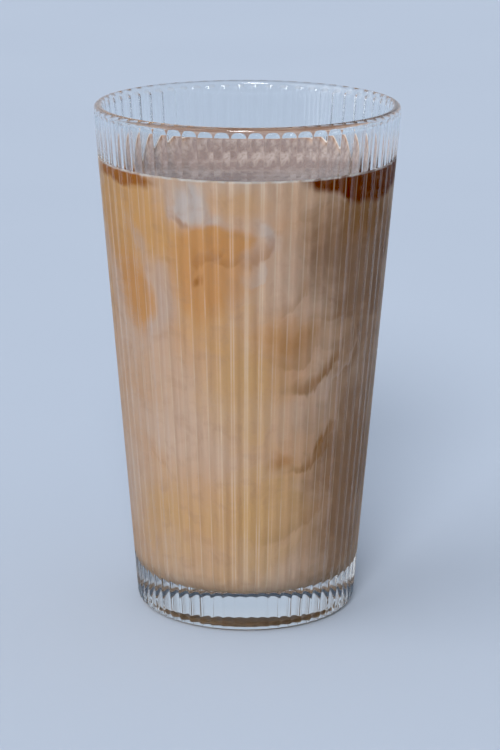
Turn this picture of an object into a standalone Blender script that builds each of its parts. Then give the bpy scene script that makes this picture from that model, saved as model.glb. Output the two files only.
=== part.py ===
"""An iced latte in a tall fluted glass tumbler, with nothing in it but the drink.

Units are metres and +Z is up. The origin is the centre of the foot, on the surface that the
tumbler stands on. Angles run from -Y, the front, towards +X, and a ridge lies at the front.
"""

from math import cos, hypot, pi, radians, sin

import bmesh
import bpy

# Tumbler, outside. The envelope is the plain cone that the ridges between the flutes touch.
HEIGHT = 0.137
ENVELOPE_RADIUS_RIM = 0.0405
ENVELOPE_RADIUS_FOOT = 0.0295
FOOT_ROUNDING = 0.0025

# Flutes: narrow hollow channels that run from the foot up to round ends just under the lip.
FLUTES = 60
FLUTE_DEPTH_PER_PITCH = 0.13
RIDGE_SOFTNESS = 0.06
FLUTE_TOP_DROP = 0.0012
FLUTE_ROUNDING = 0.0017

# Lip: a smooth rounded bead, set in a little from the ridges.
LIP_INSET = 0.0001
LIP_THICKNESS = 0.0023

# Tumbler, inside.
WALL_THICKNESS_FLOOR = 0.0030
BASE_THICKNESS = 0.0100
INNER_CORNER = 0.0060

# Underside: a shallow hollow inside the flat ring that the tumbler stands on.
STANDING_RING_WIDTH = 0.0045
HOLLOW_DEPTH = 0.0008
HOLLOW_SLOPE_WIDTH = 0.0040

# Drink: it fills the tumbler to this far below the rim, and creeps up the wall at its edge.
LEVEL_BELOW_RIM = 0.0148
MENISCUS_RISE = 0.0010
MENISCUS_WIDTH = 0.0022
WALL_GAP = 0.0003

# Fineness of the facets.
COLUMNS_PER_FLUTE = 6
FLUTED_COLUMNS = FLUTES * COLUMNS_PER_FLUTE
SMOOTH_COLUMNS = 120
FOOT_STEPS = 3
ROUNDING_STEPS = 5
LIP_STEPS = 4
CORNER_STEPS = 4
MENISCUS_STEPS = 3

SMOOTH_SHADING_ANGLE = radians(40)

LEVEL = HEIGHT - LEVEL_BELOW_RIM
LIP_RADIUS = LIP_THICKNESS / 2
LIP_CENTRE_HEIGHT = HEIGHT - LIP_RADIUS


def clear_scene():
    """Remove whatever the scene holds."""
    for found in list(bpy.data.objects):
        bpy.data.objects.remove(found, do_unlink=True)


def smooth_step(share):
    """Ease from 0 to 1 with level ends."""
    share = min(max(share, 0.0), 1.0)
    return share * share * (3 - 2 * share)


def envelope_radius(height):
    """Radius of the cone that the ridges touch."""
    share = height / HEIGHT
    return ENVELOPE_RADIUS_FOOT + (ENVELOPE_RADIUS_RIM - ENVELOPE_RADIUS_FOOT) * share


def lip_outer_radius():
    """Radius of the outside of the lip, where its rounding starts."""
    return envelope_radius(LIP_CENTRE_HEIGHT) - LIP_INSET


def inner_radius(height):
    """Radius of the smooth inner wall, without its rounded corner."""
    floor_radius = envelope_radius(BASE_THICKNESS) - WALL_THICKNESS_FLOOR
    lip_radius = lip_outer_radius() - LIP_THICKNESS
    share = (height - BASE_THICKNESS) / (LIP_CENTRE_HEIGHT - BASE_THICKNESS)
    return floor_radius + (lip_radius - floor_radius) * share


def flute_depth(height):
    """Depth of the flutes, in step with their pitch."""
    return FLUTE_DEPTH_PER_PITCH * 2 * pi * envelope_radius(height) / FLUTES


def hollowed(aside):
    """Share of a flute's depth at a distance from its middle, where 1 is the ridge beside it."""
    across = cos(pi / 2 * min(aside, 1.0))
    return (hypot(across, RIDGE_SOFTNESS) - RIDGE_SOFTNESS) / (hypot(1, RIDGE_SOFTNESS) - RIDGE_SOFTNESS)


def fluted(radius, depth, into_end=0.0):
    """The radius at each share of the turn, on a fluted ring whose ridges have this radius.

    into_end is how far the ring lies into the round upper ends of the flutes, where 1 is their top.
    """
    def radius_at(turn_share):
        aside = 2 * (turn_share * FLUTES % 1) - 1
        return radius - depth * hollowed(hypot(aside, into_end))
    return radius_at


def plain(radius):
    """The same radius all the way round."""
    return lambda turn_share: radius


def add_ring(mesh, columns, radius_at, height):
    """A closed loop of points, counted from the front."""
    ring = []
    for column in range(columns):
        angle = 2 * pi * column / columns
        radius = radius_at(column / columns)
        ring.append(mesh.verts.new((radius * sin(angle), -radius * cos(angle), height)))
    return ring


def join_rings(mesh, first, second):
    """Faces between two loops, where the finer has a whole number of points for each of the coarser."""
    fine, coarse = (first, second) if len(first) >= len(second) else (second, first)
    step = len(fine) // len(coarse)
    for column, corner in enumerate(coarse):
        next_corner = coarse[(column + 1) % len(coarse)]
        span = [fine[(column * step + k) % len(fine)] for k in range(step + 1)]
        mesh.faces.new([*span, next_corner, corner])


def skin(rings, name, material):
    """A closed object through the rings, in order, with its first and last ring capped."""
    mesh = bmesh.new()
    loops = [add_ring(mesh, *ring) for ring in rings]
    for lower, upper in zip(loops, loops[1:]):
        join_rings(mesh, lower, upper)
    mesh.faces.new(loops[0])
    mesh.faces.new(loops[-1])
    bmesh.ops.recalc_face_normals(mesh, faces=mesh.faces)
    bmesh.ops.triangulate(mesh, faces=mesh.faces)
    data = bpy.data.meshes.new(name)
    mesh.to_mesh(data)
    mesh.free()
    data.shade_smooth()
    data.set_sharp_from_angle(angle=SMOOTH_SHADING_ANGLE)
    data.materials.append(material)
    made = bpy.data.objects.new(name, data)
    bpy.context.scene.collection.objects.link(made)
    return made


def underside_rings():
    """The hollow under the base and the flat ring round it, from the middle outwards."""
    outer = envelope_radius(0) - FOOT_ROUNDING
    inner = outer - STANDING_RING_WIDTH
    return [
        (SMOOTH_COLUMNS, plain(inner - HOLLOW_SLOPE_WIDTH), HOLLOW_DEPTH),
        (SMOOTH_COLUMNS, plain(inner), 0.0),
        (SMOOTH_COLUMNS, plain(outer), 0.0),
    ]


def fluted_rings():
    """The fluted outside, from the rounding of the foot to the top of the flutes."""
    rings = []
    for step in range(1, FOOT_STEPS + 1):
        angle = (pi / 2) * step / FOOT_STEPS
        height = FOOT_ROUNDING * (1 - cos(angle))
        radius = envelope_radius(height) - FOOT_ROUNDING * (1 - sin(angle))
        rings.append((FLUTED_COLUMNS, fluted(radius, flute_depth(height) * sin(angle)), height))
    middle = HEIGHT / 2
    rings.append((FLUTED_COLUMNS, fluted(envelope_radius(middle), flute_depth(middle)), middle))
    rounding_start = HEIGHT - FLUTE_TOP_DROP - FLUTE_ROUNDING
    for step in range(ROUNDING_STEPS + 1):
        into_end = sin((pi / 2) * step / ROUNDING_STEPS)
        height = rounding_start + FLUTE_ROUNDING * into_end
        into_lip = (height - rounding_start) / (LIP_CENTRE_HEIGHT - rounding_start)
        radius = envelope_radius(height) - LIP_INSET * smooth_step(into_lip)
        rings.append((FLUTED_COLUMNS, fluted(radius, flute_depth(height), into_end), height))
    return rings


def lip_rings():
    """The rounded bead, over the top from outside to inside."""
    centre = lip_outer_radius() - LIP_RADIUS
    rings = []
    for step in range(LIP_STEPS + 1):
        angle = pi * step / LIP_STEPS
        height = LIP_CENTRE_HEIGHT + LIP_RADIUS * sin(angle)
        rings.append((SMOOTH_COLUMNS, plain(centre + LIP_RADIUS * cos(angle)), height))
    return rings


def corner_rings(floor_height, gap):
    """The rounded inner corner, from the wall down to the floor, drawn in by a gap."""
    rings = []
    for step in range(CORNER_STEPS + 1):
        angle = (pi / 2) * step / CORNER_STEPS
        height = floor_height + INNER_CORNER * (1 - sin(angle))
        radius = inner_radius(height) - gap - INNER_CORNER * (1 - cos(angle))
        rings.append((SMOOTH_COLUMNS, plain(radius), height))
    return rings


def build_glass(material):
    """The tumbler: one thick piece of pressed glass."""
    rings = underside_rings() + fluted_rings() + lip_rings() + corner_rings(BASE_THICKNESS, 0.0)
    return skin(rings, "glass", material)


def meniscus_rings():
    """The drink's edge, from the wall, where it creeps up, in to the level surface."""
    rings = []
    for step in range(MENISCUS_STEPS + 1):
        share = step / MENISCUS_STEPS
        height = LEVEL + MENISCUS_RISE * (1 - share) ** 2
        radius = inner_radius(LEVEL) - WALL_GAP - MENISCUS_WIDTH * share
        rings.append((SMOOTH_COLUMNS, plain(radius), height))
    return rings


def build_latte(material):
    """The drink: it takes the inner shape of the tumbler up to its level."""
    floor_to_wall = corner_rings(BASE_THICKNESS + WALL_GAP, WALL_GAP)[::-1]
    return skin(floor_to_wall + meniscus_rings(), "latte", material)


def make_material(name, colour, roughness, transmission=0.0):
    """A plain Principled material."""
    material = bpy.data.materials.new(name)
    material.use_nodes = True
    shader = material.node_tree.nodes["Principled BSDF"]
    shader.inputs["Base Color"].default_value = (*colour, 1.0)
    shader.inputs["Roughness"].default_value = roughness
    shader.inputs["Metallic"].default_value = 0.0
    shader.inputs["Transmission Weight"].default_value = transmission
    return material


def main():
    """Build the tumbler and its drink."""
    clear_scene()
    build_glass(make_material("clear_glass", (0.95, 0.97, 0.98), 0.02, transmission=1.0))
    build_latte(make_material("milky_coffee", (0.46, 0.27, 0.15), 0.25))


main()
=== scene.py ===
"""The looks of an iced latte in a fluted glass tumbler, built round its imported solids.

Lengths are metres and +Z is up. The origin is the centre of the foot, on the surface that the
tumbler stands on. Angles run from -Y, the front, towards +X.
"""

import logging
import math
import random
from collections.abc import Callable
from collections.abc import Iterable
from dataclasses import dataclass
from enum import Enum

import bmesh
import bpy
from mathutils import Matrix
from mathutils import Vector


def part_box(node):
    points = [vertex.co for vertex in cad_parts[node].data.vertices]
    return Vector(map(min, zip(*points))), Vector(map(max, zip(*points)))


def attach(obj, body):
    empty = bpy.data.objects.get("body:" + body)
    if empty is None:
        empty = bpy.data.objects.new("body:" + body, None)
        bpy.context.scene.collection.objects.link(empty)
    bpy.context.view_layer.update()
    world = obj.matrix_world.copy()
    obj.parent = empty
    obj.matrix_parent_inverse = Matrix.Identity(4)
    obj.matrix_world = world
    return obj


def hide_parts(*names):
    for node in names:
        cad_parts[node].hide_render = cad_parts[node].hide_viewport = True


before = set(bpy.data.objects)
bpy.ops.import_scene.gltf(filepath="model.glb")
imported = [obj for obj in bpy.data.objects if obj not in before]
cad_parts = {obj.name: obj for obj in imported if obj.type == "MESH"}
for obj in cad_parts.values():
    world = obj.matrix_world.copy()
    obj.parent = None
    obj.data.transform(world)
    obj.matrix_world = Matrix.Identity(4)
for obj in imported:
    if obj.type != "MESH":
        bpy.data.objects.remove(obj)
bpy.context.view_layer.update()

log = logging.getLogger("latte")

BODY = "root"
GLASS_NODE = "glass"
LATTE_NODE = "latte"
MILLIMETRES = 1000.0
WALL_MILLIMETRES = 34.0
WELD = 1e-7
NEAR = 2e-6
SMOOTH_DEGREES = 38
START_SIZE = 0.001

Colour = tuple[float, float, float, float]
Range = tuple[float, float]
Outline = list[tuple[float, float]]
Socket = bpy.types.NodeSocket


def tone(red: float, green: float, blue: float) -> Colour:
    """Turn a colour as a screen shows it into the light that a shader counts in.

    Args:
        red: The red share, from 0 to 255.
        green: The green share, from 0 to 255.
        blue: The blue share, from 0 to 255.

    Returns:
        The colour in linear light, with full cover.
    """
    linear = []
    for value in (red, green, blue):
        share = value / 255
        linear.append(share / 12.92 if share <= 0.04045 else ((share + 0.055) / 1.055) ** 2.4)
    return (*linear, 1.0)


def under_glass(seen: Colour, thrown_back: float = 0.6) -> Colour:
    """Work out a liquid's own colour from how it looks through glass.

    Args:
        seen: The colour as it looks.
        thrown_back: The share of the liquid's light that the wall's outside throws back into it.

    Returns:
        The paler colour that looks like this once the wall has thrown part of its light back.
    """
    own = [value / (1 - thrown_back + thrown_back * value) for value in seen[:3]]
    return (*own, 1.0)


def eased(share: float) -> float:
    """Ease from 0 to 1 with level ends."""
    share = min(max(share, 0.0), 1.0)
    return share * share * (3 - 2 * share)


@dataclass(frozen=True)
class Form:
    """The tumbler's sizes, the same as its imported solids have.

    The envelope is the plain cone that the ridges between the flutes touch.
    """

    height: float
    envelope_rim: float = 0.0405
    envelope_foot: float = 0.0295
    foot_rounding: float = 0.0025
    flutes: int = 60
    flute_depth_per_pitch: float = 0.13
    ridge_softness: float = 0.06
    flute_top_drop: float = 0.0012
    flute_rounding: float = 0.0017
    lip_inset: float = 0.0001
    lip_thickness: float = 0.0023
    wall_at_floor: float = 0.0030
    base_thickness: float = 0.0100
    inner_corner: float = 0.0060
    standing_ring: float = 0.0045
    hollow_depth: float = 0.0008
    hollow_slope: float = 0.0040
    level_below_rim: float = 0.0148
    meniscus_rise: float = 0.0010
    meniscus_width: float = 0.0022

    @property
    def lip_radius(self) -> float:
        """Radius of the lip's rounding."""
        return self.lip_thickness / 2

    @property
    def lip_centre_height(self) -> float:
        """Height of the middle of the lip's rounding."""
        return self.height - self.lip_radius

    @property
    def level(self) -> float:
        """Height of the drink's level surface."""
        return self.height - self.level_below_rim

    def envelope(self, height: float) -> float:
        """Radius of the cone that the ridges touch, at a height."""
        share = height / self.height
        return self.envelope_foot + (self.envelope_rim - self.envelope_foot) * share

    def lip_outside(self) -> float:
        """Radius of the outside of the lip, where its rounding starts."""
        return self.envelope(self.lip_centre_height) - self.lip_inset

    def inside(self, height: float) -> float:
        """Radius of the smooth inner wall, without its rounded corner.

        Args:
            height: The height over the foot.

        Returns:
            The radius.
        """
        floor_radius = self.envelope(self.base_thickness) - self.wall_at_floor
        rim_radius = self.lip_outside() - self.lip_thickness
        share = (height - self.base_thickness) / (self.lip_centre_height - self.base_thickness)
        return floor_radius + (rim_radius - floor_radius) * share

    def flute_depth(self, height: float) -> float:
        """Depth of the flutes at a height."""
        return self.flute_depth_per_pitch * 2 * math.pi * self.envelope(height) / self.flutes

    def hollowed(self, aside: float) -> float:
        """How far a flute is hollowed out, between its middle and the ridge beside it.

        Args:
            aside: The distance from the flute's middle, where 1 is the ridge.

        Returns:
            The share of the flute's depth, 1 in the middle and 0 on the ridge.
        """
        across = math.cos(math.pi / 2 * min(aside, 1.0))
        soft = self.ridge_softness
        return (math.sqrt(across**2 + soft**2) - soft) / (math.sqrt(1 + soft**2) - soft)

    def outside(self, phase: float, height: float) -> float:
        """Radius of the fluted outside, with the flutes' round upper ends, drawn in to the lip.

        Args:
            phase: The place across a flute, from ridge to ridge, from 0 to 1.
            height: The height over the foot, from the foot's rounding to the middle of the lip.

        Returns:
            The radius.
        """
        rounding_start = self.height - self.flute_top_drop - self.flute_rounding
        into_end = max(0.0, (height - rounding_start) / self.flute_rounding)
        hollow = self.flute_depth(height) * self.hollowed(math.hypot(2 * phase - 1, into_end))
        into_lip = (height - rounding_start) / (self.lip_centre_height - rounding_start)
        return self.envelope(height) - hollow - self.lip_inset * eased(into_lip)


class Bench:
    """A piece on the bench: the operators that shape it by hand, in edit mode."""

    def __init__(self, name: str, outline: list[Vector]) -> None:
        """Draw a piece's outline, and leave it selected.

        Args:
            name: The piece's name.
            outline: The places that it runs through, in order.
        """
        bpy.ops.object.select_all(action="DESELECT")
        bpy.ops.mesh.primitive_plane_add(size=START_SIZE, location=outline[0])
        self.piece: bpy.types.Object = bpy.context.object
        self.piece.name = name
        self.piece.data.name = name
        bpy.ops.object.transform_apply(location=True, rotation=True, scale=True)
        bpy.ops.object.mode_set(mode="EDIT")
        bpy.ops.mesh.select_mode(type="VERT")
        bpy.ops.mesh.select_all(action="SELECT")
        bpy.ops.mesh.merge(type="CENTER")
        for place, next_place in zip(outline, outline[1:]):
            bpy.ops.mesh.extrude_region_move(TRANSFORM_OT_translate={"value": next_place - place})
        bpy.ops.mesh.select_all(action="SELECT")

    def turn(self, steps: int, angle: float) -> None:
        """Turn what is selected about the axis into a surface, and leave its far edge selected."""
        bpy.ops.mesh.spin(steps=steps, angle=angle, center=(0, 0, 0), axis=(0, 0, 1))

    def repeat(self, times: int) -> None:
        """Copy the whole piece round the axis until it closes on itself.

        Args:
            times: How many make the full turn.
        """
        pitch = 2 * math.pi / times
        bpy.ops.mesh.select_all(action="SELECT")
        bpy.ops.mesh.spin(
            steps=times - 1, dupli=True, angle=pitch * (times - 1), center=(0, 0, 0), axis=(0, 0, 1)
        )

    def choose(self, wanted: Callable[[Vector], bool]) -> None:
        """Select the points whose place is wanted.

        Args:
            wanted: Says of a place whether it is wanted.
        """
        bpy.ops.mesh.select_all(action="DESELECT")
        mesh = bmesh.from_edit_mesh(self.piece.data)
        for vertex in mesh.verts:
            if wanted(vertex.co):
                vertex.select_set(True)
        mesh.select_flush_mode()
        bmesh.update_edit_mesh(self.piece.data)

    def draw_in(self, share: float) -> None:
        """Move the selected points towards the axis, to a share of their distance from it."""
        bpy.ops.transform.resize(value=(share, share, 1), center_override=(0, 0, 0))

    def weld(self, reach: float) -> None:
        """Make one point of those that are closer than a reach, and leave the whole piece selected."""
        bpy.ops.mesh.select_all(action="SELECT")
        bpy.ops.mesh.remove_doubles(threshold=reach)

    def finish(self, reach: float = 1e-6) -> bpy.types.Object:
        """Close the seams, turn the faces outwards and shade the piece smooth.

        Args:
            reach: Points closer than this become one.

        Returns:
            The finished piece, at the origin.
        """
        self.weld(reach)
        bpy.ops.mesh.normals_make_consistent(inside=False)
        bpy.ops.object.mode_set(mode="OBJECT")
        bpy.ops.object.shade_smooth_by_angle(angle=math.radians(SMOOTH_DEGREES))
        return self.piece


@dataclass(frozen=True)
class Patches:
    """Uneven patches on a surface: a noise that is eased between two of its values.

    Attributes:
        fineness: The noise's scale, per millimetre.
        start: The noise where they begin.
        full: The noise where they are full.
        least: The cover outside them.
        most: The cover where they are full.
        detail: The noise's detail, which makes them ragged.
    """

    fineness: float
    start: float
    full: float
    least: float = 0.0
    most: float = 1.0
    detail: float = 2.0


class Wiring:
    """The nodes of a material or a group, placed and wired in code."""

    def __init__(self, tree: bpy.types.NodeTree) -> None:
        """Take over a tree of nodes."""
        self.tree = tree

    def put(self, kind: str, inputs: dict | None = None, **options: object) -> bpy.types.Node:
        """Place a node.

        Args:
            kind: The node's type.
            inputs: What its sockets take, by name or number: an output socket is wired, a value is set.
            **options: The node's own settings.

        Returns:
            The node.
        """
        node = self.tree.nodes.new(kind)
        for name, value in options.items():
            setattr(node, name, value)
        for socket, value in (inputs or {}).items():
            self.feed(node.inputs[socket], value)
        return node

    def feed(self, socket: Socket, value: object) -> None:
        """Wire an output into a socket, or set the socket to a value.

        Args:
            socket: The socket.
            value: The output that is wired, or the value that is set.
        """
        if isinstance(value, Socket):
            self.tree.links.new(value, socket)
        else:
            socket.default_value = value

    def reckon(self, operation: str, *terms: object) -> Socket:
        """Put two or three terms through one step of arithmetic."""
        return self.put("ShaderNodeMath", dict(enumerate(terms)), operation=operation).outputs[0]

    def reckon_place(self, operation: str, *terms: object) -> Socket:
        """Put places through one step of vector arithmetic that gives a place."""
        return self.put("ShaderNodeVectorMath", dict(enumerate(terms)), operation=operation).outputs[0]

    def noise(self, point: object, scale: float, detail: float = 2.0) -> Socket:
        """Give a soft noise round 0.5 at a point."""
        inputs = {"Vector": point, "Scale": scale, "Detail": detail}
        return self.put("ShaderNodeTexNoise", inputs).outputs[0]

    def use(self, group: bpy.types.NodeTree, values: dict[str, object]) -> Socket:
        """Place a group.

        Args:
            group: The group.
            values: What its inputs take, by name.

        Returns:
            Its first output.
        """
        node = self.put("ShaderNodeGroup", node_tree=group)
        for label, value in values.items():
            self.feed(node.inputs[label], value)
        return node.outputs[0]

    def parts(self, place: object) -> bpy.types.bpy_prop_collection:
        """Give the three parts of a place."""
        return self.put("ShaderNodeSeparateXYZ", {0: place}).outputs

    def length(self, place: object) -> Socket:
        """Give how far a place is from the origin."""
        return self.put("ShaderNodeVectorMath", {0: place}, operation="LENGTH").outputs["Value"]

    def angle_from_front(self, parts: bpy.types.bpy_prop_collection) -> Socket:
        """Give the angle of a place from the front, in radians, from its three parts."""
        return self.reckon("ARCTAN2", parts[0], self.reckon("MULTIPLY", parts[1], -1.0))

    def patches(self, point: object, patches: Patches) -> Socket:
        """Give the cover of uneven patches at a point."""
        noise = self.noise(point, patches.fineness, patches.detail)
        return self.grade(noise, patches.start, patches.full, patches.least, patches.most)

    def grade(
        self, value: object, low: object, high: object, start: object = 0.0, end: object = 1.0
    ) -> Socket:
        """Ease a value from start to end while it runs from low to high."""
        inputs = {0: value, 1: low, 2: high, 3: start, 4: end}
        return self.put("ShaderNodeMapRange", inputs, interpolation_type="SMOOTHSTEP").outputs[0]

    def lay_over(self, cover: object, below: object, above: object) -> Socket:
        """Lay one colour over another by a cover from 0 to 1."""
        inputs = {0: cover, 6: below, 7: above}
        return self.put("ShaderNodeMix", inputs, data_type="RGBA", clamp_factor=True).outputs[2]


def new_group(name: str, takes: dict[str, str], gives: dict[str, str]) -> bpy.types.NodeTree:
    """Make an empty shader group with named sockets.

    Args:
        name: The group's name.
        takes: The type of each input by its name.
        gives: The type of each output by its name.

    Returns:
        The group.
    """
    group = bpy.data.node_groups.new(name, "ShaderNodeTree")
    for label, kind in takes.items():
        group.interface.new_socket(label, in_out="INPUT", socket_type="NodeSocket" + kind)
    for label, kind in gives.items():
        group.interface.new_socket(label, in_out="OUTPUT", socket_type="NodeSocket" + kind)
    return group


NOISE_RANGE: Range = (0.3, 0.7)


def unevenness_group() -> bpy.types.NodeTree:
    """Make the group that gives a value its small, soft unevenness over a surface.

    Returns:
        The group: it takes a point in millimetres, the size of the unevenness and its two limits.
    """
    takes = {"Point": "Vector", "Fineness": "Float", "Low": "Float", "High": "Float"}
    group = new_group("unevenness", takes, {"Value": "Float"})
    wiring = Wiring(group)
    given = wiring.put("NodeGroupInput").outputs
    noise = wiring.noise(given["Point"], given["Fineness"], 3.0)
    inputs = {0: noise, 1: NOISE_RANGE[0], 2: NOISE_RANGE[1], 3: given["Low"], 4: given["High"]}
    ranged = wiring.put("ShaderNodeMapRange", inputs)
    wiring.put("NodeGroupOutput", {"Value": ranged.outputs[0]})
    return group


PLACE_INPUTS = {"Point": "Vector", "Turn": "Float", "Height": "Float", "Tilt": "Float", "Size": "Vector"}
SWIRL_INPUTS = PLACE_INPUTS | {"Ragged": "Float", "Rough": "Float", "Edge": "Float", "Strength": "Float"}
CURL_FADES_IN = 4.0
CURL_LOWER_HALF: Range = (0.25, -0.6)
CURL_LEFT_END: Range = (-0.95, -0.1)


def swirl_place_group() -> bpy.types.NodeTree:
    """Make the group that lays the drink's side out flat round the middle of a swirl.

    Returns:
        The group: it takes a point in millimetres, the turn that brings the middle to the front, the
        middle's height, a tilt and the swirl's half sizes. It gives the place in it, where 1 is its
        edge.
    """
    group = new_group("swirl_place", PLACE_INPUTS, {"Place": "Vector"})
    wiring = Wiring(group)
    given = wiring.put("NodeGroupInput").outputs
    inputs = {"Vector": given["Point"], "Angle": given["Turn"]}
    turned = wiring.put("ShaderNodeVectorRotate", inputs, rotation_type="Z_AXIS").outputs[0]
    parts = wiring.parts(turned)
    across = wiring.reckon("MULTIPLY", wiring.angle_from_front(parts), WALL_MILLIMETRES)
    upright = wiring.reckon("SUBTRACT", parts[2], given["Height"])
    flat = wiring.put("ShaderNodeCombineXYZ", {0: across, 1: upright}).outputs[0]
    inputs = {"Vector": flat, "Angle": given["Tilt"]}
    level = wiring.put("ShaderNodeVectorRotate", inputs, rotation_type="Z_AXIS").outputs[0]
    wiring.put("NodeGroupOutput", {"Place": wiring.reckon_place("DIVIDE", level, given["Size"])})
    return group


def place_in_swirl(
    wiring: Wiring, given: bpy.types.bpy_prop_collection, swirl_place: bpy.types.NodeTree
) -> tuple[Socket, Socket]:
    """Put the group that lays out the drink's side inside another group, with the same inputs.

    Args:
        wiring: The other group's wiring.
        given: What the other group takes.
        swirl_place: The group that lays out the side.

    Returns:
        The place in the swirl and its ragged distance from the middle.
    """
    place = wiring.use(swirl_place, {label: given[label] for label in PLACE_INPUTS})
    return place, wiring.reckon("MULTIPLY_ADD", given["Ragged"], given["Rough"], wiring.length(place))


def plume_group(swirl_place: bpy.types.NodeTree) -> bpy.types.NodeTree:
    """Make the group that masks one soft cloud in the drink.

    Args:
        swirl_place: The group that lays out the drink's side.

    Returns:
        The group: full within a core, and fading out to the edge.
    """
    group = new_group("plume", SWIRL_INPUTS, {"Cover": "Float"})
    wiring = Wiring(group)
    given = wiring.put("NodeGroupInput").outputs
    _, distance = place_in_swirl(wiring, given, swirl_place)
    cover = wiring.grade(distance, 1.0, given["Edge"], 0.0, given["Strength"])
    wiring.put("NodeGroupOutput", {"Cover": cover})
    return group


def curl_group(swirl_place: bpy.types.NodeTree) -> bpy.types.NodeTree:
    """Make the group that masks the shaded underside of one curl in the drink.

    Args:
        swirl_place: The group that lays out the drink's side.

    Returns:
        The group: the lower half of a ring, soft inside, crisper outside and faint at its left end.
    """
    group = new_group("curl", SWIRL_INPUTS, {"Cover": "Float"})
    wiring = Wiring(group)
    given = wiring.put("NodeGroupInput").outputs
    place, distance = place_in_swirl(wiring, given, swirl_place)
    inner = wiring.reckon("MULTIPLY_ADD", given["Edge"], -CURL_FADES_IN, 1.0)
    outer = wiring.reckon("ADD", given["Edge"], 1.0)
    rise = wiring.grade(distance, inner, 1.0, 0.0, given["Strength"])
    fall = wiring.grade(distance, outer, 1.0)
    parts = wiring.parts(place)
    lower_half = wiring.grade(parts[1], *CURL_LOWER_HALF)
    from_left = wiring.grade(parts[0], *CURL_LEFT_END)
    arc = wiring.reckon("MULTIPLY", lower_half, from_left)
    cover = wiring.reckon("MULTIPLY", wiring.reckon("MULTIPLY", rise, fall), arc)
    wiring.put("NodeGroupOutput", {"Cover": cover})
    return group


@dataclass(frozen=True)
class Groups:
    """The shader groups that the materials share."""

    unevenness: bpy.types.NodeTree
    plume: bpy.types.NodeTree
    curl: bpy.types.NodeTree

    @staticmethod
    def build() -> "Groups":
        """Make each group once."""
        swirl_place = swirl_place_group()
        return Groups(unevenness_group(), plume_group(swirl_place), curl_group(swirl_place))


def begin_material(name: str) -> tuple[bpy.types.Material, Wiring, bpy.types.Node]:
    """Make a material with only a Principled shader and its output.

    Args:
        name: The material's name.

    Returns:
        The material, its wiring and its shader.
    """
    material = bpy.data.materials.new(name)
    material.use_nodes = True
    shader = material.node_tree.nodes["Principled BSDF"]
    return material, Wiring(material.node_tree), shader


def point_in_millimetres(wiring: Wiring) -> Socket:
    """Give a material the place on the piece that it colours.

    Args:
        wiring: The material's wiring.

    Returns:
        The place, in millimetres.
    """
    place = wiring.put("ShaderNodeTexCoord").outputs["Object"]
    scale = (MILLIMETRES,) * 3
    return wiring.put("ShaderNodeMapping", {"Vector": place, "Scale": scale}).outputs[0]


@dataclass(frozen=True)
class PressedGlass:
    """Clear pressed glass: a trace of grey-green, a little waviness and faint smears."""

    clear: Colour = tone(250, 253, 254)
    thick: Colour = tone(243, 250, 251)
    thick_below: float = 2.0
    clear_above: float = 14.0
    smooth: float = 0.0
    smeared: float = 0.03
    smear_fineness: float = 0.09
    waviness: float = 0.04
    wave_fineness: float = 0.12
    index: float = 1.5

    def material(self, groups: Groups) -> bpy.types.Material:
        """Make the material.

        Args:
            groups: The shared shader groups.

        Returns:
            The material.
        """
        material, wiring, shader = begin_material("pressed_glass")
        point = point_in_millimetres(wiring)
        smears = {"Fineness": self.smear_fineness, "Low": self.smooth, "High": self.smeared}
        roughness = wiring.use(groups.unevenness, {"Point": point, **smears})
        above_base = wiring.grade(wiring.parts(point)[2], self.thick_below, self.clear_above)
        ripple = wiring.noise(point, self.wave_fineness, 1.0)
        inputs = {"Strength": self.waviness, "Distance": 0.001, "Height": ripple}
        bump = wiring.put("ShaderNodeBump", inputs)
        wiring.feed(shader.inputs["Base Color"], wiring.lay_over(above_base, self.thick, self.clear))
        wiring.feed(shader.inputs["Roughness"], roughness)
        wiring.feed(shader.inputs["Normal"], bump.outputs[0])
        shader.inputs["Metallic"].default_value = 0.0
        shader.inputs["Transmission Weight"].default_value = 1.0
        shader.inputs["IOR"].default_value = self.index
        return material


HALF_FLUTE = (0.0, 0.015, 0.03, 0.05, 0.08, 0.13, 0.2, 0.28, 0.36, 0.43)


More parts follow.
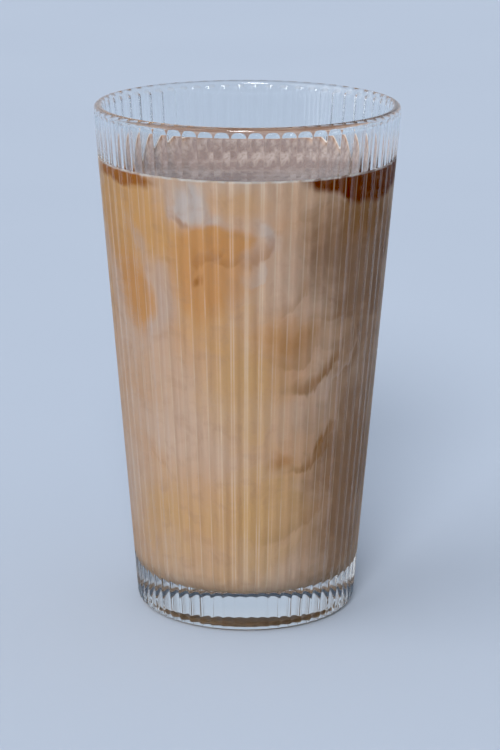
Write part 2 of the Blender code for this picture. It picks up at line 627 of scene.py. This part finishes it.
@dataclass(frozen=True)
class Tumbler:
    """The tumbler of pressed glass.

    Attributes:
        form: The tumbler's sizes.
        columns: The places across a flute, from ridge to ridge, that are modelled.
        hollow_steps: The steps on the slope of the hollow underneath.
        foot_steps: The steps on the foot's rounding.
        wall_steps: The steps up the fluted wall.
        rounding_steps: The steps over the flutes' round ends.
        lip_steps: The steps over the lip.
        inner_steps: The steps down the inside.
        corner_steps: The steps on the rounded inner corner.
    """

    form: Form
    columns: tuple[float, ...] = (*HALF_FLUTE, 0.5, *(1 - phase for phase in reversed(HALF_FLUTE)))
    hollow_steps: int = 4
    foot_steps: int = 6
    wall_steps: int = 8
    rounding_steps: int = 12
    lip_steps: int = 14
    inner_steps: int = 4
    corner_steps: int = 8

    def underside(self) -> Outline:
        """Draw the underside.

        Returns:
            Radius and height of its points, from the axis out to the standing ring.
        """
        form = self.form
        outer = form.envelope(0) - form.foot_rounding
        inner = outer - form.standing_ring
        points = [(0.0, form.hollow_depth)]
        for step in range(self.hollow_steps + 1):
            share = step / self.hollow_steps
            radius = inner - form.hollow_slope * (1 - share)
            points.append((radius, form.hollow_depth * (1 - eased(share))))
        points.append((outer, 0.0))
        return points

    def fluted_wall(self) -> Outline:
        """Draw the ridges.

        Returns:
            Radius and height of their points, from the foot to where the lip starts.
        """
        form = self.form
        points = []
        for step in range(1, self.foot_steps + 1):
            angle = (math.pi / 2) * step / self.foot_steps
            height = form.foot_rounding * (1 - math.cos(angle))
            points.append((form.envelope(height) - form.foot_rounding * (1 - math.sin(angle)), height))
        top = form.height - form.flute_top_drop - form.flute_rounding
        for step in range(1, self.wall_steps + 1):
            height = form.foot_rounding + (top - form.foot_rounding) * step / self.wall_steps
            points.append((form.envelope(height), height))
        for step in range(1, self.rounding_steps + 1):
            height = top + (form.lip_centre_height - top) * step / self.rounding_steps
            points.append((form.envelope(height), height))
        return points

    def lip(self) -> Outline:
        """Draw the rounded lip.

        Returns:
            Radius and height of its points, from outside to inside.
        """
        form = self.form
        centre = form.lip_outside() - form.lip_radius
        points = []
        for step in range(1, self.lip_steps + 1):
            angle = math.pi * step / self.lip_steps
            height = form.lip_centre_height + form.lip_radius * math.sin(angle)
            points.append((centre + form.lip_radius * math.cos(angle), height))
        return points

    def inner_wall(self) -> Outline:
        """Draw the inside.

        Returns:
            Radius and height of its points, down to the floor and in to the axis.
        """
        form = self.form
        points = []
        corner_top = form.base_thickness + form.inner_corner
        for step in range(1, self.inner_steps):
            share = step / self.inner_steps
            height = form.lip_centre_height + (corner_top - form.lip_centre_height) * share
            points.append((form.inside(height), height))
        for step in range(self.corner_steps + 1):
            angle = (math.pi / 2) * step / self.corner_steps
            height = form.base_thickness + form.inner_corner * (1 - math.sin(angle))
            points.append((form.inside(height) - form.inner_corner * (1 - math.cos(angle)), height))
        points.append((0.0, form.base_thickness))
        return points

    def pressed_radius(self, phase: float, height: float) -> float:
        """Radius of the outside after the flutes are pressed in, the foot's rounding included.

        Args:
            phase: The place across a flute, from ridge to ridge, from 0 to 1.
            height: The height over the foot.

        Returns:
            The radius.
        """
        form = self.form
        if height >= form.foot_rounding:
            return form.outside(phase, height)
        angle = math.acos(1 - height / form.foot_rounding)
        ridge = form.envelope(height) - form.foot_rounding * (1 - math.sin(angle))
        sunk = form.flute_depth(height) * form.hollowed(abs(2 * phase - 1))
        return ridge - sunk * math.sin(angle)

    def press_flutes(self, bench: Bench, wall: Outline) -> None:
        """Press one flute into the sector on the bench.

        Args:
            bench: The sector, one pitch wide, from ridge to ridge.
            wall: Radius and height of the ridges.
        """
        pitch = 2 * math.pi / self.form.flutes
        for phase in self.columns:
            angle = pitch * phase
            for radius, height in wall:
                pressed = self.pressed_radius(phase, height)
                if radius - pressed < WELD:
                    continue
                unpressed = Vector((radius * math.sin(angle), -radius * math.cos(angle), height))
                bench.choose(lambda place: (Vector((abs(place.x), *place.yz)) - unpressed).length < NEAR)
                bench.draw_in(pressed / radius)

    def build(self, material: bpy.types.Material) -> bpy.types.Object:
        """Model the tumbler and dress it.

        Args:
            material: The glass.

        Returns:
            The finished piece.
        """
        wall = self.fluted_wall()
        outline = self.underside() + wall + self.lip() + self.inner_wall()
        places = [Vector((0, -radius, height)) for radius, height in outline]
        bench = Bench("pressed_glass", places)
        pitch = 2 * math.pi / self.form.flutes
        for phase, next_phase in zip(self.columns, self.columns[1:]):
            bench.turn(1, pitch * (next_phase - phase))
        bench.weld(WELD)
        self.press_flutes(bench, wall)
        bench.repeat(self.form.flutes)
        piece = bench.finish()
        piece.data.materials.append(material)
        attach(piece, BODY)
        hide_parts(GLASS_NODE)
        return piece


class Tone(Enum):
    """The drink's tones, from milk to coffee, as they look through the glass."""

    MILK = tone(194, 182, 176)
    PALE = tone(209, 164, 135)
    TAN = tone(207, 150, 112)
    YELLOW = tone(207, 148, 94)
    AMBER = tone(212, 143, 88)
    ORANGE = tone(204, 130, 78)
    RUST = tone(140, 78, 34)
    ROSE = tone(192, 158, 138)
    BROWN = tone(120, 80, 46)
    UMBER = tone(118, 88, 68)
    COFFEE = tone(80, 32, 6)


@dataclass(frozen=True)
class Swirl:
    """One cloud or curl in the drink.

    Attributes:
        tone: Its colour.
        angle: Degrees from the front, towards +X.
        drop: Millimetres below the rim, at its middle.
        across: Half its width along the wall, in millimetres.
        upright: Half its height, in millimetres.
        tilt: Degrees that its right end is turned up.
        edge: For a cloud, the share of it that is full; for a curl, how thick its line is.
        strength: How far it covers what lies under it.
        is_curl: Whether it is the shaded underside of a curl and not a cloud.
    """

    tone: Tone
    angle: float
    drop: float
    across: float
    upright: float
    tilt: float = 0.0
    edge: float = 0.2
    strength: float = 1.0
    is_curl: bool = False


FRONT_SWIRLS = (
    Swirl(Tone.YELLOW, -40, 108, 24, 20, edge=0.0, strength=0.7),
    Swirl(Tone.YELLOW, -4, 66, 18, 30, edge=0.0, strength=0.75),
    Swirl(Tone.YELLOW, 8, 104, 20, 26, edge=0.1, strength=0.85),
    Swirl(Tone.UMBER, 60, 40, 27, 36, edge=0.25, strength=0.9),
    Swirl(Tone.UMBER, 62, 96, 28, 56, edge=0.25, strength=0.85),
    Swirl(Tone.UMBER, 36, 32, 13, 20, edge=0.0, strength=0.55),
    Swirl(Tone.AMBER, -60, 26, 20, 18, tilt=-14, edge=0.5, strength=1.0),
    Swirl(Tone.AMBER, -34, 33, 16, 10, tilt=-36, edge=0.3, strength=0.95),
    Swirl(Tone.ROSE, -43, 48, 7, 15, tilt=-14, edge=0.1, strength=0.8),
    Swirl(Tone.ROSE, -51, 33, 3.5, 9, tilt=12, edge=0.1, strength=0.6),
    Swirl(Tone.ORANGE, -58, 46, 7, 15, tilt=12, edge=0.35, strength=1.0),
    Swirl(Tone.AMBER, -16, 48, 15, 15, tilt=-30, edge=0.1, strength=0.7),
    Swirl(Tone.MILK, -22, 20, 8, 8, tilt=-10, edge=0.3, strength=0.85),
    Swirl(Tone.MILK, -11, 24.5, 6, 2.6, tilt=-30, edge=0.1, strength=0.7),
    Swirl(Tone.AMBER, -2, 19.5, 9, 5, edge=0.2, strength=0.5),
    Swirl(Tone.MILK, 8, 27, 3.5, 7, tilt=30, edge=0.1, strength=0.6),
    Swirl(Tone.ORANGE, -27, 34, 7, 7, tilt=10, edge=0.4, strength=0.85),
    Swirl(Tone.ORANGE, -19, 29.5, 8, 6, tilt=0, edge=0.5, strength=0.95),
    Swirl(Tone.ORANGE, -9, 31, 8.5, 7.5, tilt=-14, edge=0.5, strength=0.95),
    Swirl(Tone.ORANGE, -21, 41, 9.5, 10, tilt=-10, edge=0.4, strength=0.9),
    Swirl(Tone.ORANGE, -7, 40, 8, 7, tilt=20, edge=0.3, strength=0.7),
    Swirl(Tone.RUST, -22, 40, 3.0, 1.7, edge=0.1, strength=0.65),
    Swirl(Tone.RUST, -27, 24, 1.8, 4.5, tilt=20, edge=0.1, strength=0.45),
    Swirl(Tone.RUST, 0, 31, 6, 6, tilt=30, edge=0.2, strength=0.4, is_curl=True),
    Swirl(Tone.RUST, -9, 34, 5, 4, tilt=-10, edge=0.2, strength=0.3, is_curl=True),
    Swirl(Tone.RUST, -20, 32, 6, 5, tilt=-10, edge=0.2, strength=0.3, is_curl=True),
    Swirl(Tone.MILK, 3, 37, 4, 3, tilt=30, edge=0.2, strength=0.35, is_curl=True),
    Swirl(Tone.ORANGE, 17, 55, 12, 10, tilt=10, edge=0.1, strength=0.7),
    Swirl(Tone.BROWN, 22, 58, 12, 11, tilt=0, edge=0.0, strength=0.45),
    Swirl(Tone.BROWN, 26, 61, 11, 11, tilt=8, edge=0.12, strength=0.8, is_curl=True),
    Swirl(Tone.BROWN, 19, 57, 8, 7, tilt=-8, edge=0.14, strength=0.3, is_curl=True),
    Swirl(Tone.BROWN, 34, 45, 8, 7, tilt=16, edge=0.14, strength=0.3, is_curl=True),
    Swirl(Tone.BROWN, 17, 43, 6, 5, tilt=30, edge=0.18, strength=0.3, is_curl=True),
    Swirl(Tone.ROSE, 34, 62, 12, 10, tilt=24, edge=0.06, strength=0.45, is_curl=True),
    Swirl(Tone.RUST, 15, 88, 6, 3.4, edge=0.0, strength=0.5),
    Swirl(Tone.BROWN, 24, 82, 12, 10, tilt=20, edge=0.09, strength=0.65, is_curl=True),
    Swirl(Tone.BROWN, 38, 83, 2.4, 8, tilt=-20, edge=0.1, strength=0.95),
    Swirl(Tone.BROWN, 20, 103, 12, 8, tilt=14, edge=0.14, strength=0.3, is_curl=True),
    Swirl(Tone.BROWN, 58, 24, 24, 12, tilt=-10, edge=0.0, strength=0.8),
    Swirl(Tone.COFFEE, 62, 8, 26, 15.6, edge=0.85, strength=1.0),
    Swirl(Tone.RUST, -60, 15.8, 16, 3.2, tilt=2, edge=0.5, strength=1.0),
)

FAR_SWIRLS = (
    Swirl(Tone.UMBER, 118, 40, 22, 26, tilt=20, edge=0.0, strength=0.8),
    Swirl(Tone.AMBER, 150, 32, 20, 14, tilt=-16, edge=0.1, strength=0.8),
    Swirl(Tone.ORANGE, 168, 30, 14, 9, tilt=10, edge=0.2, strength=0.8),
    Swirl(Tone.MILK, -172, 22, 12, 6, tilt=12, edge=0.2, strength=0.8),
    Swirl(Tone.ROSE, -150, 44, 12, 16, tilt=-20, edge=0.1, strength=0.7),
    Swirl(Tone.ORANGE, -122, 32, 13, 9, tilt=24, edge=0.2, strength=0.8),
    Swirl(Tone.AMBER, -92, 50, 14, 18, tilt=-24, edge=0.1, strength=0.7),
    Swirl(Tone.YELLOW, 160, 104, 26, 18, edge=0.0, strength=0.6),
    Swirl(Tone.BROWN, 104, 66, 14, 10, tilt=12, edge=0.14, strength=0.5, is_curl=True),
    Swirl(Tone.BROWN, 140, 58, 15, 11, tilt=-14, edge=0.14, strength=0.45, is_curl=True),
    Swirl(Tone.BROWN, 178, 74, 14, 9, tilt=10, edge=0.14, strength=0.4, is_curl=True),
    Swirl(Tone.BROWN, -112, 82, 12, 9, tilt=-8, edge=0.14, strength=0.4, is_curl=True),
    Swirl(Tone.RUST, -160, 36, 10, 7, tilt=20, edge=0.18, strength=0.35, is_curl=True),
    Swirl(Tone.COFFEE, -164, 13, 18, 4.2, tilt=4, edge=0.5, strength=0.9),
)


@dataclass(frozen=True)
class MarbledLatte:
    """Milk and coffee that are still mixing: soft clouds and shaded curls over a tan ground.

    Attributes:
        warp: How far the large swirls are stirred, in millimetres.
        fine_warp: How far the fine ones are stirred.
        ground: The paler patches of the ground.
        billow_fineness: How fine the edges of clouds billow.
        raggedness: How far they billow.
        curl_roughness: How much of that the curls take on.
        mottles: The faint mottles over it all.
        painted_caustic_tone: The colour of the painted caustic, the line of light painted behind each
            ridge.
        shaded: The colour of the mottles and the upright streaks.
        caustic_line_start: How near the ridge the painted line of light begins, as a cosine.
        painted_caustic_patches: How strong the painted lines of light are.
        streaks: The upright streaks of painted shade.
        streak_drawn_out: The share of the height that the streaks' noise keeps, which draws them out.
        foam_line: The colour of the foamy edge.
        foam: Where that edge is broken.
        foam_rise: Where it begins and is full, in millimetres over the level.
        coffee_top: The coffee's colour on the surface.
        milky_top: The milk's colour on the surface.
        wisps: The milk on the surface.
        flecks: The brown flecks on the surface.
        surface_rise: Where the surface's colour begins and is full, in millimetres over the level.
        surface_edge: The same across the surface, in millimetres out from the wall's inside.
        roughness: The roughness under the glass.
        shine: The reflection under the glass, where there is no air.
        wetness: The wet coat of the surface.
        gloss: The roughness of that coat.
    """

    warp: float = 7.0
    fine_warp: float = 2.2
    ground: Patches = Patches(0.035, 0.35, 0.65, detail=3.0)
    billow_fineness: float = 0.13
    raggedness: float = 0.85
    curl_roughness: float = 0.4
    mottles: Patches = Patches(0.26, 0.48, 0.72, most=0.22, detail=3.0)
    # Painted light and shade from the flutes: a caustic line of light behind each ridge, and darker
    # upright streaks.
    painted_caustic_tone: Colour = tone(230, 200, 168)
    shaded: Colour = tone(160, 112, 84)
    caustic_line_start: float = 0.88
    painted_caustic_patches: Patches = Patches(0.11, 0.3, 0.7, least=0.12, most=0.45)
    streaks: Patches = Patches(0.45, 0.42, 0.70, most=0.24)
    streak_drawn_out: float = 0.02
    foam_line: Colour = tone(222, 204, 190)
    foam: Patches = Patches(0.3, 0.35, 0.6, least=0.25, detail=3.0)
    foam_rise: Range = (0.25, 0.7)
    coffee_top: Colour = tone(142, 100, 72)
    milky_top: Colour = tone(196, 164, 142)
    wisps: Patches = Patches(0.07, 0.36, 0.7, detail=4.0)
    flecks: Patches = Patches(0.22, 0.46, 0.72, most=0.6)
    surface_rise: Range = (-0.2, -0.05)
    surface_edge: Range = (-0.2, -0.6)
    roughness: float = 0.6
    shine: float = 0.1
    wetness: float = 0.6
    gloss: float = 0.08

    def warped(self, wiring: Wiring, point: Socket) -> Socket:
        """Stir the point, so that what is placed by it flows in uneven wisps.

        Args:
            wiring: The material's wiring.
            point: The place, in millimetres.

        Returns:
            The stirred place.
        """
        for fineness, amount, detail in ((0.05, self.warp, 1.0), (0.18, self.fine_warp, 2.0)):
            inputs = {"Vector": point, "Scale": fineness, "Detail": detail}
            noise = wiring.put("ShaderNodeTexNoise", inputs).outputs["Color"]
            centred = wiring.reckon_place("SUBTRACT", noise, (0.5, 0.5, 0.5))
            inputs = {0: centred, "Scale": amount * 2}
            shift = wiring.put("ShaderNodeVectorMath", inputs, operation="SCALE")
            point = wiring.reckon_place("ADD", point, shift.outputs[0])
        return point

    def paint_flute_shade_and_caustics(self, wiring: Wiring, form: Form, point: Socket, colour: Socket) -> Socket:
        """Lay painted shade and painted light from the flutes over the side: darker upright streaks, and
        a caustic line of light behind each ridge.

        Args:
            wiring: The material's wiring.
            form: The tumbler's sizes.
            point: The place, in millimetres.
            colour: The side's colour.

        Returns:
            The colour with the streaks and lines in it.
        """
        parts = wiring.parts(point)
        angle = wiring.angle_from_front(parts)
        across = wiring.reckon("MULTIPLY", angle, WALL_MILLIMETRES)
        upright = wiring.reckon("MULTIPLY", parts[2], self.streak_drawn_out)
        drawn_out = wiring.put("ShaderNodeCombineXYZ", {0: across, 1: upright}).outputs[0]
        # Painted shade: darker streaks drawn out upright, standing in for the shade that the flutes
        # would throw.
        streaks = wiring.patches(drawn_out, self.streaks)
        colour = wiring.lay_over(streaks, colour, under_glass(self.shaded))
        # Painted caustic: a line of light painted behind each ridge, where the flutes would focus the
        # light on the drink.
        wave = wiring.reckon("COSINE", wiring.reckon("MULTIPLY", angle, float(form.flutes)))
        line = wiring.grade(wave, self.caustic_line_start, 1.0)
        painted_caustic_cover = wiring.reckon("MULTIPLY", line, wiring.patches(point, self.painted_caustic_patches))
        return wiring.lay_over(painted_caustic_cover, colour, under_glass(self.painted_caustic_tone))

    def side_colour(self, wiring: Wiring, groups: Groups, form: Form, point: Socket) -> Socket:
        """Colour the drink's side.

        Args:
            wiring: The material's wiring.
            groups: The shared shader groups.
            form: The tumbler's sizes.
            point: The place, in millimetres.

        Returns:
            The colour.
        """
        stirred = self.warped(wiring, point)
        paler = wiring.patches(stirred, self.ground)
        colour = wiring.lay_over(paler, under_glass(Tone.TAN.value), under_glass(Tone.PALE.value))
        billow = wiring.noise(stirred, self.billow_fineness, 3.0)
        ragged = wiring.reckon("MULTIPLY_ADD", billow, self.raggedness, -self.raggedness / 2)
        for swirl in FRONT_SWIRLS + FAR_SWIRLS:
            values = {
                "Point": stirred,
                "Turn": -math.radians(swirl.angle),
                "Height": form.height * MILLIMETRES - swirl.drop,
                "Tilt": -math.radians(swirl.tilt),
                "Size": (swirl.across, swirl.upright, 1.0),
                "Ragged": ragged,
                "Rough": self.curl_roughness if swirl.is_curl else 1.0 - swirl.edge,
                "Edge": swirl.edge,
                "Strength": swirl.strength,
            }
            cover = wiring.use(groups.curl if swirl.is_curl else groups.plume, values)
            colour = wiring.lay_over(cover, colour, under_glass(swirl.tone.value))
        mottles = wiring.patches(stirred, self.mottles)
        colour = wiring.lay_over(mottles, colour, under_glass(self.shaded))
        # The painted shade streaks and painted caustic lines go over the drink's own colour.
        return self.paint_flute_shade_and_caustics(wiring, form, point, colour)

    def top_colour(self, wiring: Wiring, point: Socket) -> Socket:
        """Colour the drink's surface: brown coffee with wisps of milk.

        Args:
            wiring: The material's wiring.
            point: The place, in millimetres.

        Returns:
            The colour.
        """
        stirred = self.warped(wiring, point)
        colour = wiring.lay_over(wiring.patches(stirred, self.wisps), self.coffee_top, self.milky_top)
        return wiring.lay_over(wiring.patches(stirred, self.flecks), colour, Tone.BROWN.value)

    def material(self, groups: Groups, form: Form) -> bpy.types.Material:
        """Make the material.

        Args:
            groups: The shared shader groups.
            form: The tumbler's sizes.

        Returns:
            The material.
        """
        material, wiring, shader = begin_material("marbled_latte")
        point = point_in_millimetres(wiring)
        side = self.side_colour(wiring, groups, form, point)
        height = wiring.parts(point)[2]
        level = form.level * MILLIMETRES
        edge = form.inside(form.level) * MILLIMETRES
        radius = wiring.length(wiring.reckon_place("MULTIPLY", point, (1.0, 1.0, 0.0)))
        creeping = wiring.grade(height, *(level + rise for rise in self.foam_rise))
        foam = wiring.reckon("MULTIPLY", creeping, wiring.patches(point, self.foam))
        side = wiring.lay_over(foam, side, under_glass(self.foam_line))
        at_level = wiring.grade(height, *(level + rise for rise in self.surface_rise))
        off_wall = wiring.grade(radius, *(edge + out for out in self.surface_edge))
        on_top = wiring.reckon("MULTIPLY", at_level, off_wall)
        colour = wiring.lay_over(on_top, side, self.top_colour(wiring, point))
        wiring.feed(shader.inputs["Base Color"], colour)
        wiring.feed(shader.inputs["Coat Weight"], wiring.reckon("MULTIPLY", on_top, self.wetness))
        shader.inputs["Roughness"].default_value = self.roughness
        shader.inputs["Specular IOR Level"].default_value = self.shine
        shader.inputs["Coat Roughness"].default_value = self.gloss
        return material


@dataclass(frozen=True)
class Latte:
    """The drink, which fills the tumbler to its level and reaches just into the wall."""

    form: Form
    columns: int = 256
    corner_steps: int = 8
    wall_steps: int = 5
    meniscus_steps: int = 6
    surface_steps: int = 4
    into_wall: float = 0.0002

    def outline(self) -> Outline:
        """Draw the drink.

        Returns:
            Radius and height of its points, from the middle of its floor to that of its surface.
        """
        form = self.form
        points = [(0.0, form.base_thickness - self.into_wall)]
        for step in range(self.corner_steps, -1, -1):
            angle = (math.pi / 2) * step / self.corner_steps
            height = form.base_thickness - self.into_wall + form.inner_corner * (1 - math.sin(angle))
            radius = form.inside(height) + self.into_wall - form.inner_corner * (1 - math.cos(angle))
            points.append((radius, height))
        low = form.base_thickness + form.inner_corner
        for step in range(1, self.wall_steps + 1):
            height = low + (form.level + form.meniscus_rise - low) * step / self.wall_steps
            points.append((form.inside(height) + self.into_wall, height))
        edge = form.inside(form.level)
        for step in range(1, self.meniscus_steps + 1):
            share = step / self.meniscus_steps
            height = form.level + form.meniscus_rise * (1 - share) ** 2
            points.append((edge - form.meniscus_width * share, height))
        for step in range(self.surface_steps - 1, -1, -1):
            points.append((edge * step / self.surface_steps, form.level))
        return points

    def build(self, material: bpy.types.Material) -> bpy.types.Object:
        """Model the drink and dress it.

        Args:
            material: The marbled coffee.

        Returns:
            The finished piece.
        """
        places = [Vector((0, -radius, height)) for radius, height in self.outline()]
        bench = Bench("poured_latte", places)
        bench.turn(self.columns, 2 * math.pi)
        piece = bench.finish()
        piece.data.materials.append(material)
        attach(piece, BODY)
        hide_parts(LATTE_NODE)
        return piece


@dataclass(frozen=True)
class FoamFilm:
    """The wet film of a bubble."""

    clear: Colour = tone(236, 222, 206)
    milky: Colour = tone(222, 204, 186)
    fineness: float = 0.8
    smooth: float = 0.02
    uneven: float = 0.12
    wet_fineness: float = 1.5
    clearness: float = 0.7
    index: float = 1.33

    def material(self, groups: Groups) -> bpy.types.Material:
        """Make the material.

        Args:
            groups: The shared shader groups.

        Returns:
            The material.
        """
        material, wiring, shader = begin_material("foam_film")
        point = point_in_millimetres(wiring)
        wet = {"Point": point, "Fineness": self.wet_fineness, "Low": self.smooth, "High": self.uneven}
        colour = wiring.lay_over(wiring.noise(point, self.fineness), self.clear, self.milky)
        wiring.feed(shader.inputs["Base Color"], colour)
        wiring.feed(shader.inputs["Roughness"], wiring.use(groups.unevenness, wet))
        shader.inputs["Transmission Weight"].default_value = self.clearness
        shader.inputs["IOR"].default_value = self.index
        return material


@dataclass(frozen=True)
class Foam:
    """The tiny bubbles that gather where the drink meets the glass."""

    form: Form
    seed: int = 11
    count: int = 170
    smallest: float = 0.00014
    largest: float = 0.00042
    flatness: float = 0.8
    around: int = 12
    upright: int = 6
    cluster_degrees: float = 46.0
    cluster_spread: float = 13.0
    clustered_share: float = 0.6

    def places(self) -> list[tuple[Vector, float]]:
        """Choose where each bubble sits on the drink's edge, and its radius.

        Returns:
            The place of each bubble's middle and its radius.
        """
        form = self.form
        chance = random.Random(self.seed)
        edge = form.inside(form.level)
        chosen = []
        for _ in range(self.count):
            if chance.random() < self.clustered_share:
                angle = math.radians(chance.gauss(self.cluster_degrees, self.cluster_spread))
            else:
                angle = math.radians(chance.uniform(-180, 180))
            radius = self.smallest + (self.largest - self.smallest) * chance.random() ** 2
            inwards = radius + form.meniscus_width * chance.random() ** 2
            share = min(inwards / form.meniscus_width, 1.0)
            height = form.level + form.meniscus_rise * (1 - share) ** 2
            away = edge - inwards
            chosen.append((Vector((away * math.sin(angle), -away * math.cos(angle), height)), radius))
        return chosen

    def build(self, material: bpy.types.Material) -> bpy.types.Object:
        """Model the bubbles as one piece and dress it.

        Args:
            material: The film.

        Returns:
            The finished piece.
        """
        angles = [math.pi * step / self.upright for step in range(self.upright + 1)]
        unit = self.largest
        outline = [Vector((0, -math.sin(angle), math.cos(angle))) * unit for angle in angles]
        bench = Bench("foam_bubbles", outline)
        bench.turn(self.around, 2 * math.pi)
        bench.weld(WELD)
        for place, radius in self.places():
            bench.choose(lambda corner: corner.length < 2 * unit)
            bpy.ops.mesh.duplicate()
            share = radius / unit
            bpy.ops.transform.resize(
                value=(share, share, self.flatness * share), center_override=(0, 0, 0)
            )
            bpy.ops.transform.translate(value=place)
        bench.choose(lambda corner: corner.length < 2 * unit)
        bpy.ops.mesh.delete(type="VERT")
        piece = bench.finish(WELD)
        piece.data.materials.append(material)
        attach(piece, BODY)
        return piece


@dataclass(frozen=True)
class Window:
    """One soft light.

    Attributes:
        name: Its name.
        place: The side that it shines from, towards the origin.
        energy: Its strength.
        degrees: How wide it looks.
        colour: Its colour, as red, green and blue shares.
    """

    name: str
    place: tuple[float, float, float]
    energy: float
    degrees: float
    colour: tuple[float, float, float] = (0.98, 0.98, 1.0)

    def hang(self) -> None:
        """Hang the light, turned to the origin."""
        bpy.ops.object.light_add(type="SUN", location=self.place)
        light = bpy.context.object
        light.name = self.name
        light.data.energy = self.energy
        light.data.angle = math.radians(self.degrees)
        light.data.color = self.colour
        light.rotation_euler = (-Vector(self.place)).to_track_quat("-Z", "Y").to_euler()


@dataclass(frozen=True)
class Studio:
    """The plain floor, the soft lights and the camera."""

    floor_radius: float = 6.0
    floor_corners: int = 96
    floor_fineness: float = 0.004
    floor_roughness: float = 0.9
    floor_shine: float = 0.1
    floor_dull: Colour = tone(180, 190, 203)
    floor_light: Colour = tone(185, 195, 207)
    windows: tuple[Window, ...] = (
        Window("key_light", (-0.15, -1.25, 0.85), 2.1, 20),
        Window("fill_light", (-1.2, -0.45, 0.7), 1.0, 60),
    )
    front_wall: Colour = tone(90, 94, 104)
    back_wall: Colour = tone(188, 198, 214)
    ceiling: Colour = tone(206, 212, 222)
    backdrop: Colour = tone(184, 195, 212)
    back_wall_turned: float = -0.45
    wall_change: Range = (-0.75, 0.35)
    ceiling_start: Range = (0.25, 0.75)
    lens: float = 119.79
    sensor: float = 36.0
    nearest: float = 0.05
    farthest: float = 30.0
    camera_aside: float = 0.00094
    camera_away: float = 0.650
    camera_over_rim: float = 0.10429
    camera_pitch: float = 15.348
    camera_roll: float = 0.224
    black_level: tuple[float, float, float] = (0.028, 0.033, 0.042)
    bounces: int = 24
    bounces_in_glass: int = 20
    bounces_off_gloss: int = 12

    def floor(self) -> None:
        """Lay a pale floor, far wider than any view of the tumbler."""
        bpy.ops.object.select_all(action="DESELECT")
        bpy.ops.mesh.primitive_circle_add(
            vertices=self.floor_corners, radius=self.floor_radius, fill_type="NGON"
        )
        floor = bpy.context.object
        floor.name = "studio_floor"
        material, wiring, shader = begin_material("studio_floor")
        point = point_in_millimetres(wiring)
        uneven = wiring.noise(point, self.floor_fineness)
        colour = wiring.lay_over(uneven, self.floor_dull, self.floor_light)
        wiring.feed(shader.inputs["Base Color"], colour)
        shader.inputs["Roughness"].default_value = self.floor_roughness
        shader.inputs["Specular IOR Level"].default_value = self.floor_shine
        floor.data.materials.append(material)

    def lights(self) -> None:
        """Hang the lights and set the pale surroundings."""
        for window in self.windows:
            window.hang()
        world = bpy.data.worlds.new("pale_surroundings")
        bpy.context.scene.world = world
        world.use_nodes = True
        wiring = Wiring(world.node_tree)
        direction = wiring.put("ShaderNodeTexCoord").outputs["Generated"]
        parts = wiring.parts(direction)
        towards_back = wiring.reckon("MULTIPLY_ADD", parts[0], self.back_wall_turned, parts[1])
        behind = wiring.grade(towards_back, *self.wall_change)
        colour = wiring.lay_over(behind, self.front_wall, self.back_wall)
        colour = wiring.lay_over(wiring.grade(parts[2], *self.ceiling_start), colour, self.ceiling)
        seen = wiring.put("ShaderNodeLightPath").outputs["Is Camera Ray"]
        colour = wiring.lay_over(seen, colour, self.backdrop)
        background = world.node_tree.nodes["Background"]
        wiring.feed(background.inputs["Color"], colour)
        background.inputs["Strength"].default_value = 1.0

    def camera(self, form: Form) -> None:
        """Stand the camera where the photograph was taken from.

        Args:
            form: The tumbler's sizes.
        """
        bpy.ops.object.camera_add()
        camera = bpy.context.object
        camera.name = "photo_camera"
        camera.data.lens = self.lens
        camera.data.sensor_width = self.sensor
        camera.data.clip_start = self.nearest
        camera.data.clip_end = self.farthest
        height = form.height + self.camera_over_rim
        place = Matrix.Translation(Vector((self.camera_aside, -self.camera_away, height)))
        pitch = Matrix.Rotation(math.radians(90 - self.camera_pitch), 4, "X")
        roll = Matrix.Rotation(math.radians(self.camera_roll), 4, "Z")
        camera.matrix_world = place @ pitch @ roll
        bpy.context.scene.camera = camera

    def picture(self) -> None:
        """Show light as it falls, with no film look laid over it."""
        scene = bpy.context.scene
        scene.view_settings.view_transform = "Standard"
        scene.view_settings.look = "None"
        scene.view_settings.use_curve_mapping = True
        scene.view_settings.curve_mapping.black_level = self.black_level
        scene.view_settings.curve_mapping.update()
        scene.cycles.max_bounces = self.bounces
        scene.cycles.transmission_bounces = self.bounces_in_glass
        scene.cycles.glossy_bounces = self.bounces_off_gloss


def main() -> None:
    """Build the drink in its tumbler, and the studio round it."""
    logging.basicConfig(level=logging.INFO, format="%(name)s: %(message)s")
    low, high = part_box(GLASS_NODE)
    form = Form(height=high.z - low.z)
    groups = Groups.build()
    pieces = [
        Tumbler(form).build(PressedGlass().material(groups)),
        Latte(form).build(MarbledLatte().material(groups, form)),
        Foam(form).build(FoamFilm().material(groups)),
    ]
    for piece in pieces:
        log.info("%s: %d faces", piece.name, len(piece.data.polygons))
    studio = Studio()
    studio.floor()
    studio.lights()
    studio.camera(form)
    studio.picture()


if __name__ == "__main__":
    main()
